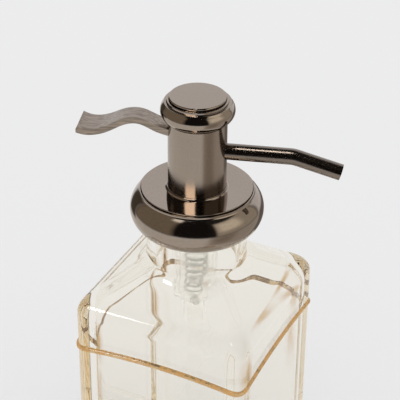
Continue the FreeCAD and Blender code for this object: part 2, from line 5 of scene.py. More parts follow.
import bmesh
import bpy
import numpy as np
from mathutils import Matrix, Vector


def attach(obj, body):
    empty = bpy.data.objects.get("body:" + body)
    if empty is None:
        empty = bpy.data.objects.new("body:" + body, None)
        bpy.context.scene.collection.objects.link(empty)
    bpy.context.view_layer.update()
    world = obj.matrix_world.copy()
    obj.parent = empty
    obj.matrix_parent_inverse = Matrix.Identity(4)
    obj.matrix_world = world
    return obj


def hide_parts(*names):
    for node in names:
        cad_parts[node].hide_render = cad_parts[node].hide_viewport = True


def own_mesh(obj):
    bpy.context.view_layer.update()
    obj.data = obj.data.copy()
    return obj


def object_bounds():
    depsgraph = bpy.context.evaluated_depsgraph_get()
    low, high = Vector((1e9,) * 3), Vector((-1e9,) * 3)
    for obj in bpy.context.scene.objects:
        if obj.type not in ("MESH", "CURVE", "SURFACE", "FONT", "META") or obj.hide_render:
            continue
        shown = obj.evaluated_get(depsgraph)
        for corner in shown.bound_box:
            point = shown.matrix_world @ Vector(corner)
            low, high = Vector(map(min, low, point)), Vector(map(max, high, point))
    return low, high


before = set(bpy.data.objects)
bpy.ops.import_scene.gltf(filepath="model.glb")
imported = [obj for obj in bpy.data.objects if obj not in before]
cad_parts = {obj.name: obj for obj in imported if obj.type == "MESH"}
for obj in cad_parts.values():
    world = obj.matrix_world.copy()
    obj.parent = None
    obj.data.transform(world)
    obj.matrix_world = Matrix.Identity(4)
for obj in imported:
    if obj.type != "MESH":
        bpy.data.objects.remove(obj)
CAD_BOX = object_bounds()
MM = 0.001

# ---- camera, in the row frame, metres ----
CAMERA_AZIMUTH = 25.02         # the camera looks along +Y turned by this many degrees
CAMERA_TURN = 25.16            # turn of the point the camera stands over, about the bottle's axis
CAMERA_DISTANCE = 0.495
CAMERA_HEIGHT = 0.4537
CAMERA_DIP = 31.77             # degrees below the horizon
CAMERA_ROLL = 0.56
CAMERA_LENS = 132.8

# ---- bottle, millimetres ----
HALF = 37.0
CORNER = 5.0
EAVE_Z = 107.8
EAVE_R = 8.0
SLOPE = 0.7265
WALL = 3.4
FLOOR_Z = 8.5
FLOOR_EDGE_R = 3.5
BASE_EDGE_R = 3.0
PUNT_Z = 1.7
INNER_CORNER = 9.0
INNER_EAVE_R = 10.0
NECK_R = 20.2
NECK_TOP = 138.6
FINISH_R = 17.6
BORE_R = 15.0
NECK_BORE = 16.4
MOUTH_Z = 149.5
PITCH = 4.23
THREAD_Z = 142.0
THREAD_TURNS = 1.25
THREAD_DEPTH = 1.05
RIB_Z = 87.6
RIB_ARCH = 2.64
RIB_HALF = 0.95
RIB_OUT = 0.95

# ---- collar, millimetres: a pair is a radius and a height ----
COLLAR_BOTTOM_Z = 136.5
COLLAR_BOTTOM_R = 21.6
COLLAR_BULGE = (26.5, 144.6)
COLLAR_BULGE_TOP = (22.9, 151.9)
COLLAR_LIP_R = 22.7
COLLAR_LIP_Z = 153.1
COLLAR_BORE_R = 20.9
COLLAR_METAL = 1.1             # thickness of the shell's metal
PLATE_R = 22.0
PLATE_BOTTOM_Z = 152.6
PLATE_TOP_Z = 153.8
PLATE_HOLE_R = 12.5
PLATE_GAP = 0.15               # between the plate's rim and the shell's lip
LEDGE_Z = 151.4                # underside of the ledge that carries the plate
RING_BORE_R = 11.55
RING_R = 11.95
RING_TOP_Z = 154.8

# ---- cap, millimetres ----
CAP_BOTTOM_Z = 183.2
CAP_BORE_R = 9.2
CAP_SPIGOT_R = 10.5
CAP_SKIRT = (11.7, 183.55)
CAP_FOOT = (12.0, 183.95)
CAP_BULGE = (14.4, 187.3)
CAP_SHOULDER = (13.25, 190.7)
CAP_STEP_1 = (13.0, 191.4)
CAP_STEP_2 = (12.0, 192.45)
CAP_SEAT = (11.1, 191.9)
DISC_R = 11.05
DISC_TOP_Z = 193.6

# ---- return spring, millimetres ----
SPRING_R = 4.3
SPRING_WIRE = 0.45
SPRING_TURNS = 6.5
SPRING_CLOSED = 1.05
SPRING_LOW = 105.6
SPRING_HIGH = 123.5

# ---- studio ----
# Panels that the metal mirrors, each laid over those before it. Azimuth range (0 is the side where
# the photo's camera stands), height range, edge softness, all in degrees, and tone. They were placed
# to match the photo, and are not one real room.
STUDIO_PANELS = {
    "table": (-200, 200, -95, -21, 7.0, (0.86, 0.84, 0.80)),
    "table_right": (22, 150, -60, -14, 9.0, (0.56, 0.51, 0.46)),
    "table_shade": (30, 66, -48, -14, 14.0, (0.37, 0.32, 0.27)),
    "table_back": (126, 192, -60, -12, 5.0, (0.20, 0.175, 0.15)),
    "room": (-121, 121, -15, 95, 5.0, (0.020, 0.018, 0.016)),
    "room_high": (-200, 200, 50, 95, 5.0, (0.030, 0.027, 0.024)),
    "room_left": (-120, -40, -15, 62, 8.0, (0.30, 0.25, 0.19)),
    "gap_left": (-150, -121, -25, 60, 4.0, (0.10, 0.09, 0.07)),
    "wall_right": (33, 118, -13, 47, 4.0, (0.56, 0.51, 0.43)),
    "wall_right_lit": (38, 80, 5, 43, 9.0, (1.10, 1.02, 0.86)),
    "flag": (-36, 24, -12, 74, 3.0, (0.014, 0.013, 0.013)),
    "lamp": (-62, -38, 54, 80, 5.0, (1.5, 1.45, 1.35)),
    "overhead": (-50, -8, 73, 95, 1.5, (8.8, 8.4, 7.8)),
}
# Laid over them for light that bounces more than once, such as from the column to the plate.
STRIPE_PANELS = {"dark_left": (-165, -50, -12, 90, 5.0, (0.05, 0.045, 0.04)),
                 "dim_right": (30, 130, -12, 60, 6.0, (0.20, 0.17, 0.14)),
                 "stripe": (-47, -8, 5, 60, 3.0, (5.6, 5.2, 4.6))}
# Panels that the glass mirrors.
GLASS_PANELS = {"strip": (-62, -51, 20, 34, 0.4, (11.0, 11.0, 11.0)),
                "spot": (-20, -12, 60, 76, 1.0, (9.0, 9.0, 9.0))}
METAL_ROOM = (0.93, 0.93, 0.95)        # behind the panels, as the metal mirrors it
GLASS_ROOM = (0.80, 0.78, 0.73)        # as the glass mirrors it
THROUGH_GLASS = (0.80, 0.79, 0.76)     # as seen through the glass
BACKDROP = (0.832, 0.832, 0.836)       # as seen past the floor's edge


# ---------------------------------------------------------------- node helpers

class Nodes:
    """A short way to write a material's nodes."""

    def __init__(self, tree):
        self.tree = tree

    def add(self, kind, inputs=None, **settings):
        node = self.tree.nodes.new(kind)
        for name, value in settings.items():
            setattr(node, name, value)
        for name, value in (inputs or {}).items():
            self.put(node.inputs[name], value)
        return node

    def put(self, socket, value):
        if isinstance(value, bpy.types.NodeSocket):
            self.tree.links.new(value, socket)
        else:
            socket.default_value = value

    def math(self, op, a, b=0.0):
        node = self.add("ShaderNodeMath", {0: a, 1: b}, operation=op)
        return node.outputs[0]

    def remap(self, value, low, high, to_low=0.0, to_high=1.0, smooth=True):
        node = self.add("ShaderNodeMapRange", {"Value": value, "From Min": low, "From Max": high,
                                               "To Min": to_low, "To Max": to_high},
                        interpolation_type="SMOOTHSTEP" if smooth else "LINEAR")
        return node.outputs["Result"]

    def mix(self, factor, a, b):
        node = self.add("ShaderNodeMix", {"Factor": factor}, data_type="RGBA")
        self.put(node.inputs[6], a)
        self.put(node.inputs[7], b)
        return node.outputs[2]

    def stretch(self, vector, scale):
        node = self.add("ShaderNodeVectorMath", {0: vector, 1: scale}, operation="MULTIPLY")
        return node.outputs[0]

    def noise(self, vector, scale, detail):
        node = self.add("ShaderNodeTexNoise", {"Vector": vector, "Scale": scale, "Detail": detail})
        return node.outputs["Fac"]


def new_material(name):
    material = bpy.data.materials.new(name)
    material.use_nodes = True
    material.node_tree.nodes.clear()
    nodes = Nodes(material.node_tree)
    output = nodes.add("ShaderNodeOutputMaterial")
    shader = nodes.add("ShaderNodeBsdfPrincipled")
    nodes.put(output.inputs["Surface"], shader.outputs[0])
    return material, nodes, shader, output


def rgb(r, g, b):
    return (r, g, b, 1.0)


# ---------------------------------------------------------------- materials

def cylinder_coordinates(nodes):
    """Angle, radius and height round the pump's axis, in metres and radians."""
    position = nodes.add("ShaderNodeTexCoord").outputs["Object"]
    parts = nodes.add("ShaderNodeSeparateXYZ", {0: position})
    angle = nodes.math("ARCTAN2", parts.outputs[1], parts.outputs[0])
    radius = nodes.math("SQRT", nodes.math("ADD", nodes.math("POWER", parts.outputs[0], 2.0),
                                           nodes.math("POWER", parts.outputs[1], 2.0)))
    return angle, radius, parts.outputs[2]


def turned_metal(name, base, roughness, anisotropy, grain):
    """Plated metal with fine grooves round the axis, as a lathe leaves them."""
    material, nodes, shader, _ = new_material(name)
    angle, radius, height = cylinder_coordinates(nodes)
    along = nodes.add("ShaderNodeCombineXYZ", {0: nodes.math("MULTIPLY", angle, 0.012),
                                               1: radius, 2: height}).outputs[0]
    fine = nodes.noise(along, 9000.0, 2.0)
    broad = nodes.noise(along, 1300.0, 2.0)
    cloud = nodes.noise(nodes.add("ShaderNodeTexCoord").outputs["Object"], 60.0, 3.0)
    tone = nodes.math("ADD", nodes.math("MULTIPLY", fine, 0.5), nodes.math("MULTIPLY", broad, 0.5))
    dark = rgb(*(c * 0.93 for c in base))
    light = rgb(*(min(c * 1.07, 1.0) for c in base))
    nodes.put(shader.inputs["Base Color"], nodes.mix(nodes.remap(tone, 0.3, 0.7), dark, light))
    shader.inputs["Metallic"].default_value = 1.0
    rough = nodes.math("ADD", nodes.remap(cloud, 0.3, 0.7, roughness * 0.85, roughness * 1.15),
                       nodes.remap(tone, 0.3, 0.7, -0.02, 0.02))
    nodes.put(shader.inputs["Roughness"], rough)
    shader.inputs["Anisotropic"].default_value = anisotropy
    shader.inputs["Anisotropic Rotation"].default_value = 0.25
    tangent = nodes.add("ShaderNodeTangent", direction_type="RADIAL", axis="Z")
    nodes.put(shader.inputs["Tangent"], tangent.outputs[0])
    bump = nodes.add("ShaderNodeBump", {"Strength": grain, "Distance": 0.00002, "Height": tone})
    nodes.put(shader.inputs["Normal"], bump.outputs[0])
    return material


def plain_metal(name, base, roughness, grain_scale, grain, along=None, contrast=0.06):
    """Plated metal with a fine grain, drawn out towards an azimuth in degrees when one is given."""
    material, nodes, shader, _ = new_material(name)
    position = nodes.add("ShaderNodeTexCoord").outputs["Object"]
    if along is not None:
        turned = nodes.add("ShaderNodeVectorRotate", {"Vector": position, "Angle": -math.radians(along)},
                           rotation_type="Z_AXIS")
        position = nodes.stretch(turned.outputs[0], (0.08, 1.0, 1.0))
    fine = nodes.noise(position, grain_scale, 3.0)
    cloud = nodes.noise(position, 70.0, 3.0)
    dark = rgb(*(c * (1 - contrast) for c in base))
    light = rgb(*(min(c * (1 + contrast), 1.0) for c in base))
    nodes.put(shader.inputs["Base Color"], nodes.mix(nodes.remap(fine, 0.3, 0.7), dark, light))
    shader.inputs["Metallic"].default_value = 1.0
    nodes.put(shader.inputs["Roughness"], nodes.remap(cloud, 0.3, 0.7, roughness * 0.85, roughness * 1.15))
    bump = nodes.add("ShaderNodeBump", {"Strength": grain, "Distance": 0.00002, "Height": fine})
    nodes.put(shader.inputs["Normal"], bump.outputs[0])
    return material


def glass_material():
    """Clear glass with a warm tint that deepens with thickness, amber in the rib, and painted refraction:
    amber patches beside the corners.
    """
    material, nodes, shader, output = new_material("bottle_glass")
    shader.inputs["IOR"].default_value = 1.5
    position = nodes.add("ShaderNodeTexCoord").outputs["Object"]
    shader.inputs["Roughness"].default_value = 0.0
    # The amber attribute holds the rib's amber and the painted refraction beside the corners.
    amber = nodes.add("ShaderNodeAttribute", attribute_name="amber").outputs["Fac"]
    streak = nodes.noise(nodes.stretch(position, (1.0, 1.0, 0.2)), 420.0, 2.0)
    depth = nodes.math("MULTIPLY", amber, nodes.remap(streak, 0.35, 0.65, 0.6, 1.0))
    tint = nodes.remap(depth, 0.0, 0.45, smooth=False)
    nodes.put(shader.inputs["Base Color"], nodes.mix(tint, rgb(0.995, 0.985, 0.955), rgb(0.60, 0.33, 0.11)))
    body = nodes.math("POWER", depth, 4.0)
    nodes.put(shader.inputs["Transmission Weight"], nodes.remap(body, 0.0, 0.6, 1.0, 0.12, smooth=False))
    ripple = nodes.noise(position, 45.0, 2.0)
    bump = nodes.add("ShaderNodeBump", {"Strength": 0.02, "Distance": 0.0006, "Height": ripple})
    nodes.put(shader.inputs["Normal"], bump.outputs[0])
    volume = nodes.add("ShaderNodeVolumeAbsorption", {"Color": rgb(0.96, 0.82, 0.55), "Density": 10.0})
    nodes.put(output.inputs["Volume"], volume.outputs[0])
    return material


def plastic_material(name, base, roughness, transmission, ior=1.49, alpha=1.0, painted_glow=0.0):
    """Moulded plastic with a faint cloud and a fine moulded texture; a painted glow, when given, stands in
    for light scattered inside it.
    """
    material, nodes, shader, _ = new_material(name)
    position = nodes.add("ShaderNodeTexCoord").outputs["Object"]
    cloud = nodes.noise(position, 120.0, 3.0)
    fine = nodes.noise(position, 1800.0, 2.0)
    dark = rgb(*(c * 0.95 for c in base))
    nodes.put(shader.inputs["Base Color"], nodes.mix(nodes.remap(cloud, 0.3, 0.7), dark, rgb(*base)))
    nodes.put(shader.inputs["Roughness"], nodes.remap(cloud, 0.3, 0.7, roughness * 0.9, roughness * 1.1))
    shader.inputs["IOR"].default_value = ior
    shader.inputs["Transmission Weight"].default_value = transmission
    shader.inputs["Alpha"].default_value = alpha
    # Painted glow: emission that stands in for light scattered inside the plastic.
    shader.inputs["Emission Color"].default_value = rgb(1.0, 0.98, 0.93)
    shader.inputs["Emission Strength"].default_value = painted_glow
    bump = nodes.add("ShaderNodeBump", {"Strength": 0.15, "Distance": 0.00003, "Height": fine})
    nodes.put(shader.inputs["Normal"], bump.outputs[0])
    return material


def floor_material():
    """Pale floor that gives off some light of its own, to keep the photo's even tone."""
    material, nodes, shader, _ = new_material("studio_floor")
    position = nodes.add("ShaderNodeTexCoord").outputs["Object"]
    grain = nodes.noise(position, 900.0, 2.0)
    tone = nodes.mix(grain, rgb(0.43, 0.43, 0.432), rgb(0.436, 0.436, 0.438))
    nodes.put(shader.inputs["Base Color"], tone)
    nodes.put(shader.inputs["Emission Color"], tone)
    shader.inputs["Emission Strength"].default_value = 0.94
    shader.inputs["Roughness"].default_value = 1.0
    shader.inputs["Specular IOR Level"].default_value = 0.0
    return material


# ---------------------------------------------------------------- pieces that take a CAD node's place

def stand_in(name, mesh, body, node):
    """Links a mesh that rides on a body and takes the place of a CAD node."""
    piece = bpy.data.objects.new(name, mesh)
    bpy.context.scene.collection.objects.link(piece)
    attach(piece, body)
    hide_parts(node)
    return piece


# ---------------------------------------------------------------- bottle mesh

def column_angles():
    """Azimuths of the mesh columns: close together at the corners."""
    quarter = np.concatenate([np.linspace(-33, 33, 25)[:-1], np.linspace(33, 41, 7)[:-1],
                              np.linspace(41, 49, 15)[:-1], np.linspace(49, 57, 7)[:-1]])
    return np.radians(np.concatenate([quarter + 90 * k for k in range(4)]))


def square_radius(angles, half, corner):
    """Distance from the axis to a rounded square's side in each direction."""
    folded = np.abs((angles + math.pi / 4) % (math.pi / 2) - math.pi / 4)
    c, s = np.cos(folded), np.sin(folded)
    a = max(half - corner, 0.0)
    r = min(corner, half)
    round_part = a * (c + s) + np.sqrt(np.maximum(r * r - a * a * (1 - 2 * c * s), 0.0))
    return np.where(s / c <= a / half, half / c, round_part)


def shoulder_half(z, half, eave_z, eave_r):
    """Half width of the body at a height: wall, rounded eave, shoulder plane."""
    tilt = math.atan(SLOPE)
    bend = math.pi / 2 - tilt
    wall_top = eave_z - eave_r * math.tan(bend / 2)
    arc_top = wall_top + eave_r * math.sin(bend)
    if z <= wall_top:
        return half
    if z <= arc_top:
        return half - eave_r + math.sqrt(eave_r ** 2 - (z - wall_top) ** 2)
    return max(half - (z - eave_z) / SLOPE, 1.0)


def smooth_max(a, b, k):
    """Larger of two distances, with a rounded inner corner of reach k."""
    h = np.maximum(k - np.abs(a - b), 0.0) / k
    return np.maximum(a, b) + h * h * k / 4


def rib_height(angles):
    """Height of the rib's centre line in each direction: arched on every face."""
    folded = (angles + math.pi / 4) % (math.pi / 2) - math.pi / 4
    across = np.clip(np.tan(folded), -1, 1)
    return RIB_Z + RIB_ARCH * (1 - across ** 2)


def thread_bump(angles, z):
    """How far the screw thread's ridge stands out of its root in each direction, at one height."""
    out = np.zeros_like(angles)
    turn = (angles % (2 * math.pi)) / (2 * math.pi)
    for k in range(3):
        along = turn + k
        ridge_z = THREAD_Z + PITCH * along
        inside = np.clip((THREAD_TURNS - along) * 30, 0, 1) * np.clip(along * 30, 0, 1)
        ridge = np.clip((1.1 - np.abs(z - ridge_z)) / 0.6, 0, 1)
        out = np.maximum(out, ridge * inside)
    return THREAD_DEPTH * out


def corner_painted_refraction(angles, z):
    """Painted refraction beside the upright corners: amber patches, one above the rib and a fainter one
    below.
    """
    off_corner = np.abs(angles % (math.pi / 2) - math.pi / 4 - 0.09)
    upper = 0.9 * math.exp(-((z - 92) / 7) ** 2)
    lower = 0.63 * math.exp(-((z - 66) / 9) ** 2)
    return (upper + lower) * np.clip(1.4 - off_corner / 0.045, 0, 1)


class Rings:
    """Rings of the glass surface, in order: up the outside from the middle of the base, down the inside."""

    def __init__(self):
        self.angles = column_angles()
        self.flat = np.ones_like(self.angles)
        self.rows = []

    def add(self, heights, radii, tint=0.0):
        self.rows.append((heights * self.flat, radii * self.flat, tint * self.flat))

    def square(self, z, half, corner=CORNER, tint=0.0):
        self.add(z, square_radius(self.angles, half, corner), tint)


def base_rings(rings):
    """Shallow punt, foot ring and rounded bottom edge."""
    for half in (4, 14, 22, 27):
        rings.square(PUNT_Z, half, min(CORNER, half))
    for half, z in ((28.6, 1.5), (29.4, 0.9), (30.0, 0.3), (30.8, 0.0), (32.4, 0.0)):
        rings.square(z, half)
    for step in range(7):
        turn = math.radians(15 * step)
        rings.square(BASE_EDGE_R * (1 - math.cos(turn)), HALF - BASE_EDGE_R * (1 - math.sin(turn)))


def wall_rings(rings):
    """Flat walls with the raised rib, whose rings follow its arch."""
    for z in (8, 18, 28, 38, 48, 58, 68, 74, 79):
        rings.square(z, HALF)
    lift = rib_height(rings.angles) - RIB_Z
    steps = 9
    for k in range(-steps, steps + 1):
        offset = k * 0.16
        swell = max(0.0, 1 - (offset / (RIB_HALF + 0.25)) ** 2)
        bulge = RIB_OUT * (swell ** 0.7)
        radius = square_radius(rings.angles, HALF + bulge, CORNER + bulge)
        rings.add(RIB_Z + offset + lift, radius, float(abs(k) < steps))
    for z, share in ((91.0, 0.55), (93.5, 0.25), (96.0, 0.08), (98.5, 0.0)):
        rings.add(z + lift * share, square_radius(rings.angles, HALF, CORNER))


def shoulder_rings(rings):
    """Eave, hipped shoulder and neck."""
    eave = np.arange(101.0, 113.0, 0.6)
    shoulder = np.arange(113.0, 128.0, 0.7)
    for z in (*eave, *shoulder, 129.5, 131.5, 134, 136.5):
        body = square_radius(rings.angles, shoulder_half(z, HALF, EAVE_Z, EAVE_R), CORNER)
        rings.add(z, smooth_max(body, NECK_R, 5.0))
    rings.add(NECK_TOP - 0.6, NECK_R)
    for drop, inset in ((0.25, 0.15), (0.05, 0.5), (0.0, 1.0), (0.0, 2.0)):
        rings.add(NECK_TOP - drop, NECK_R - inset)


def mouth_rings(rings):
    """Screw finish, rounded lip and bore."""
    for rise, out in ((0.1, 0.2), (0.4, 0.0)):
        rings.add(NECK_TOP + rise, FINISH_R + out)
    for z in np.arange(139.6, 148.6, 0.3):
        rings.add(z, FINISH_R + thread_bump(rings.angles, z))
    for drop, inset in ((0.5, 0.05), (0.15, 0.25), (0.0, 0.6)):
        rings.add(MOUTH_Z - drop, FINISH_R - inset)
    for drop, out in ((0.0, 0.6), (0.15, 0.2), (0.5, 0.0)):
        rings.add(MOUTH_Z - drop, BORE_R + out)
    for z in (146, 143, 140.5):
        rings.add(z, BORE_R)


def inside_rings(rings):
    """Shoulder, walls and floor of the soap's space."""
    half = HALF - WALL
    eave = EAVE_Z - WALL / math.cos(math.atan(SLOPE)) + WALL * SLOPE
    for z in (139, 137.5, 136, 133, 130, 127, 125, *np.arange(123.0, 97.0, -0.7)):
        body = square_radius(rings.angles, shoulder_half(z, half, eave, INNER_EAVE_R), INNER_CORNER)
        bore = BORE_R + (NECK_BORE - BORE_R) * min(max((140 - z) / 4, 0), 1)
        # Painted refraction: amber patches beside the inner corners.
        rings.add(z, smooth_max(body, bore, 4.0), corner_painted_refraction(rings.angles, z))
    for z in (94, 90, 86, 80, 72, 64, 56, 48, 40, 32, 24, 17):
        rings.square(z, half, INNER_CORNER, corner_painted_refraction(rings.angles, z))
    for step in range(7):
        turn = math.radians(15 * step)
        rings.square(FLOOR_Z + FLOOR_EDGE_R * (1 - math.sin(turn)),
                     half - FLOOR_EDGE_R * (1 - math.cos(turn)), INNER_CORNER)
    for inner in (24, 14, 4):
        rings.square(FLOOR_Z, inner, min(INNER_CORNER, inner))


def glass_bottle():
    rings = Rings()
    for stretch in (base_rings, wall_rings, shoulder_rings, mouth_rings, inside_rings):
        stretch(rings)
    angles, rows = rings.angles, rings.rows
    count = len(angles)
    mesh = bpy.data.meshes.new("glass_bottle")
    points = []
    tints = []
    for heights, radii, tint in rows:
        points += list(zip(radii * np.cos(angles) * MM, radii * np.sin(angles) * MM, heights * MM))
        tints += list(tint)
    faces = []
    for row in range(len(rows) - 1):
        a, b = row * count, (row + 1) * count
        faces += [(a + i, a + (i + 1) % count, b + (i + 1) % count, b + i) for i in range(count)]
    last = (len(rows) - 1) * count
    faces.append(tuple(range(count - 1, -1, -1)))
    faces.append(tuple(range(last, last + count)))
    mesh.from_pydata(points, [], faces)
    mesh.attributes.new("amber", "FLOAT", "POINT").data.foreach_set("value", np.array(tints, np.float32))
    for polygon in mesh.polygons:
        polygon.use_smooth = len(polygon.vertices) == 4
    mesh.validate()
    mesh.materials.append(glass_material())
    stand_in("glass_bottle", mesh, "bottle", "bottle")


# ---------------------------------------------------------------- turned metal pieces

def arc_through(start, middle, end, steps):
    """Points on the arc through three (radius, height) points, without its ends."""
    (ax, ay), (bx, by), (cx, cy) = start, middle, end
    d = 2 * (ax * (by - cy) + bx * (cy - ay) + cx * (ay - by))
    a2, b2, c2 = ax * ax + ay * ay, bx * bx + by * by, cx * cx + cy * cy
    ox = (a2 * (by - cy) + b2 * (cy - ay) + c2 * (ay - by)) / d
    oy = (a2 * (cx - bx) + b2 * (ax - cx) + c2 * (bx - ax)) / d
    radius = math.hypot(ax - ox, ay - oy)
    first = math.atan2(ay - oy, ax - ox)
    turn = (math.atan2(cy - oy, cx - ox) - first + math.pi) % (2 * math.pi) - math.pi
    bearings = [first + turn * k / steps for k in range(1, steps)]
    return [(ox + radius * math.cos(bearing), oy + radius * math.sin(bearing)) for bearing in bearings]


def rounded(outline, steps=6):
    """Closed outline whose corners (radius, height, fillet) are replaced by small arcs."""
    out = []
    count = len(outline)
    for i, corner in enumerate(outline):
        here = Vector(corner[:2])
        fillet = corner[2] if len(corner) > 2 else 0.0
        if not fillet:
            out.append(tuple(here))
            continue
        back = (Vector(outline[i - 1][:2]) - here)
        ahead = (Vector(outline[(i + 1) % count][:2]) - here)
        leg = min(fillet, back.length * 0.48, ahead.length * 0.48)
        a, b = here + back.normalized() * leg, here + ahead.normalized() * leg
        for k in range(steps + 1):
            t = k / steps
            out.append(tuple(a * (1 - t) ** 2 + here * 2 * t * (1 - t) + b * t ** 2))
    return out


def closed_mesh(name, vertices, faces, material):
    """Mesh with merged double points, outward normals and one material."""
    mesh = bpy.data.meshes.new(name)
    mesh.from_pydata(vertices, [], faces)
    work = bmesh.new()
    work.from_mesh(mesh)
    bmesh.ops.remove_doubles(work, verts=work.verts, dist=1e-7)
    bmesh.ops.recalc_face_normals(work, faces=work.faces)
    work.to_mesh(mesh)
    work.free()
    mesh.materials.append(material)
    return mesh


def lathe(name, outline, body, material, segments=240):
    """Turned piece that takes the place of the CAD node of its name, with its edges softened."""
    points = rounded(outline)
    count = len(points)
    vertices = []
    for k in range(segments):
        angle = 2 * math.pi * k / segments
        vertices += [(r * math.cos(angle) * MM, r * math.sin(angle) * MM, z * MM) for r, z in points]
    faces = []
    for k in range(segments):
        a, b = k * count, ((k + 1) % segments) * count
        faces += [(a + i, b + i, b + (i + 1) % count, a + (i + 1) % count) for i in range(count)]
    mesh = closed_mesh("turned_" + name, vertices, faces, material)
    mesh.polygons.foreach_set("use_smooth", [True] * len(mesh.polygons))
    piece = stand_in("turned_" + name, mesh, body, name)
    piece.modifiers.new("flat faces stay flat", "WEIGHTED_NORMAL")


def collar_shell(metal):
    """Spun shell: rolled bottom edge, bulge, upright lip and the ledge inside that carries the plate."""
    foot = (COLLAR_BOTTOM_R, COLLAR_BOTTOM_Z)
    seat_r = PLATE_R + PLATE_GAP
    inner_foot = (COLLAR_BOTTOM_R - 0.1, COLLAR_BOTTOM_Z + COLLAR_METAL)
    inner_top = (COLLAR_BORE_R + 1.0, LEDGE_Z)
    inner_bulge = (COLLAR_BULGE[0] - COLLAR_METAL, COLLAR_BULGE[1])
    outline = [(COLLAR_BORE_R, COLLAR_BOTTOM_Z, 0.35), (*foot, 0.2)]
    outline += arc_through(COLLAR_BULGE_TOP, COLLAR_BULGE, foot, 40)[::-1]
    outline += [(*COLLAR_BULGE_TOP, 0.15), (COLLAR_LIP_R, COLLAR_BULGE_TOP[1] + 0.4, 0.15),
                (COLLAR_LIP_R, COLLAR_LIP_Z, 0.2), (seat_r, COLLAR_LIP_Z, 0.1), (seat_r, PLATE_BOTTOM_Z),
                (COLLAR_BORE_R, PLATE_BOTTOM_Z), (COLLAR_BORE_R, LEDGE_Z), inner_top]
    outline += arc_through(inner_top, inner_bulge, inner_foot, 24)
    outline += [inner_foot, (COLLAR_BORE_R, inner_foot[1])]
    lathe("collar_shell", outline, "collar", metal)


def collar_plate(metal):
    outline = [(PLATE_HOLE_R, PLATE_BOTTOM_Z), (PLATE_R, PLATE_BOTTOM_Z), (PLATE_R, PLATE_TOP_Z, 0.25),
               (PLATE_HOLE_R, PLATE_TOP_Z)]
    lathe("collar_plate", outline, "collar", metal)


def guide_ring(metal):
    """Bush in the plate's hole, a little proud of the plate."""
    outline = [(RING_BORE_R, PLATE_BOTTOM_Z), (PLATE_HOLE_R, PLATE_BOTTOM_Z), (PLATE_HOLE_R, PLATE_TOP_Z),
               (RING_R, PLATE_TOP_Z), (RING_R, RING_TOP_Z, 0.2), (RING_BORE_R, RING_TOP_Z, 0.1)]
    lathe("guide_ring", outline, "collar", metal)


def cap_shell(metal):
    """Rounded cap with two fine steps round its top."""
    seat_r, seat_z = CAP_SEAT
    outline = [(CAP_BORE_R, CAP_BOTTOM_Z), (CAP_SPIGOT_R, CAP_BOTTOM_Z), (CAP_SPIGOT_R, CAP_SKIRT[1]),
               (*CAP_SKIRT, 0.15), CAP_FOOT]
    outline += arc_through(CAP_FOOT, CAP_BULGE, CAP_SHOULDER, 40)
    outline += [CAP_SHOULDER, (*CAP_STEP_1, 0.25), (CAP_STEP_2[0] + 0.05, CAP_STEP_1[1], 0.12),
                (*CAP_STEP_2, 0.25), (seat_r, CAP_STEP_2[1], 0.1), (seat_r, seat_z), (CAP_BORE_R, seat_z)]
    lathe("cap_shell", outline, "head", metal)


def cap_disc(metal):
    """Disc dropped in the cap, with a bevelled edge."""
    low, high = CAP_SEAT[1], DISC_TOP_Z
    outline = [(0.0, low), (DISC_R, low), (DISC_R, high - 0.45, 0.1), (DISC_R - 0.15, high - 0.05, 0.3),
               (DISC_R - 0.65, high), (0.0, high)]
    lathe("cap_disc", outline, "head", metal)


# ---------------------------------------------------------------- spring

def return_spring(material, per_turn=48, sides=14):
    """Open coil with a closed turn at each end, built at one length."""
    turns = SPRING_TURNS
    low, high = SPRING_LOW + SPRING_WIRE, SPRING_HIGH - SPRING_WIRE
    bends = (0, 1, turns - 1, turns)
    levels = (low, low + SPRING_CLOSED, high - SPRING_CLOSED, high)
    steps = int(per_turn * turns)
    vertices = []
    for i in range(steps + 1):
        t = turns * i / steps
        height = float(np.interp(t, bends, levels))
        turn = 2 * math.pi * t
        for k in range(sides):
            around = 2 * math.pi * k / sides
            radius = SPRING_R + SPRING_WIRE * math.cos(around)
            vertices.append((radius * math.cos(turn) * MM, radius * math.sin(turn) * MM,
                             (height + SPRING_WIRE * math.sin(around)) * MM))
    faces = []
    for i in range(steps):
        a, b = i * sides, (i + 1) * sides
        faces += [(a + k, b + k, b + (k + 1) % sides, a + (k + 1) % sides) for k in range(sides)]
    faces += [tuple(range(sides)), tuple(range((steps + 1) * sides - 1, steps * sides - 1, -1))]
    mesh = closed_mesh("coil", vertices, faces, material)
    for polygon in mesh.polygons:
        polygon.use_smooth = len(polygon.vertices) == 4
    piece = stand_in("return_spring", mesh, "pump", "spring")
    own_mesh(piece)


# ---------------------------------------------------------------- CAD nodes with their own finish

def dress(node, material):
    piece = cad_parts[node]
    piece.data.materials.clear()
    piece.data.materials.append(material)


# ---------------------------------------------------------------- studio

